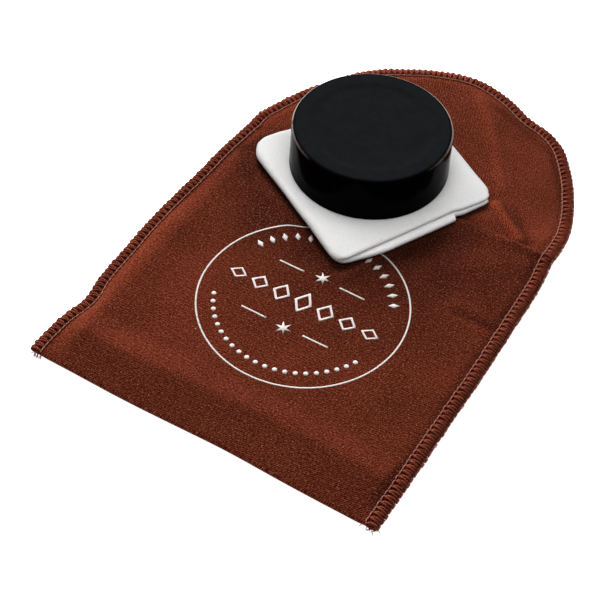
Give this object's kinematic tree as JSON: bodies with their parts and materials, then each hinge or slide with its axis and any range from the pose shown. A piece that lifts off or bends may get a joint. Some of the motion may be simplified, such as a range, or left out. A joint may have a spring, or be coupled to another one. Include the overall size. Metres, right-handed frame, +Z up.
{
  "type": "rosin cake",
  "caption": "Round dark rosin cake for string bows, resting on its folded white cloth across an open flap pouch with overlocked edges.",
  "frame": {"origin": "on the resting plane, under the middle of the whole set's box", "axes": "+X across the pouch, +Y from the pouch's bottom fold to the tip of its flap, +Z up out of the cake's top"},
  "size_m": [0.1, 0.1575, 0.0184],
  "materials": {
    "pouch_cloth": "brushed red-brown cotton twill with a short nap",
    "overlock_thread": "soft textured red-brown overlock thread",
    "print_ink": "thin matt white screen print",
    "cleaning_cloth": "soft white brushed flannel",
    "rosin": "cast rosin, glossy near-black sides and a satin dusted top"
  },
  "bodies": {
    "pouch": {"pouch_back_panel": "pouch_cloth", "pouch_front_panel": "pouch_cloth", "pouch_flap_root": "pouch_cloth", "left_needle_thread": "overlock_thread", "left_upper_looper_thread": "overlock_thread", "left_lower_looper_thread": "overlock_thread", "right_needle_thread": "overlock_thread", "right_upper_looper_thread": "overlock_thread", "right_lower_looper_thread": "overlock_thread", "left_thread_tail": "overlock_thread", "right_thread_tail": "overlock_thread", "print_ring": "print_ink", "print_upper_diamonds": "print_ink", "print_lower_dots": "print_ink", "print_lozenge_row": "print_ink", "print_side_rules": "print_ink", "print_rosettes": "print_ink"},
    "flap": {"pouch_flap": "pouch_cloth", "flap_needle_thread": "overlock_thread", "flap_upper_looper_thread": "overlock_thread", "flap_lower_looper_thread": "overlock_thread"},
    "cleaning_cloth": {"cleaning_cloth": "cleaning_cloth"},
    "rosin_cake": {"rosin_cake": "rosin"}
  },
  "joints": [
    {"name": "flap_fold", "type": "hinge", "parent": "pouch", "child": "flap", "pos_m": [0.0495, 0.0232, 0.0013], "axis": [0.859, -0.512, 0], "range_deg": [0, 90]},
    {"name": "cleaning_cloth_lift", "type": "slide", "parent": "pouch", "child": "cleaning_cloth", "axis": [0, 0, 1], "range_m": [0, 0.06]},
    {"name": "rosin_cake_lift", "type": "slide", "parent": "cleaning_cloth", "child": "rosin_cake", "axis": [0, 0, 1], "range_m": [0, 0.06]}
  ]
}
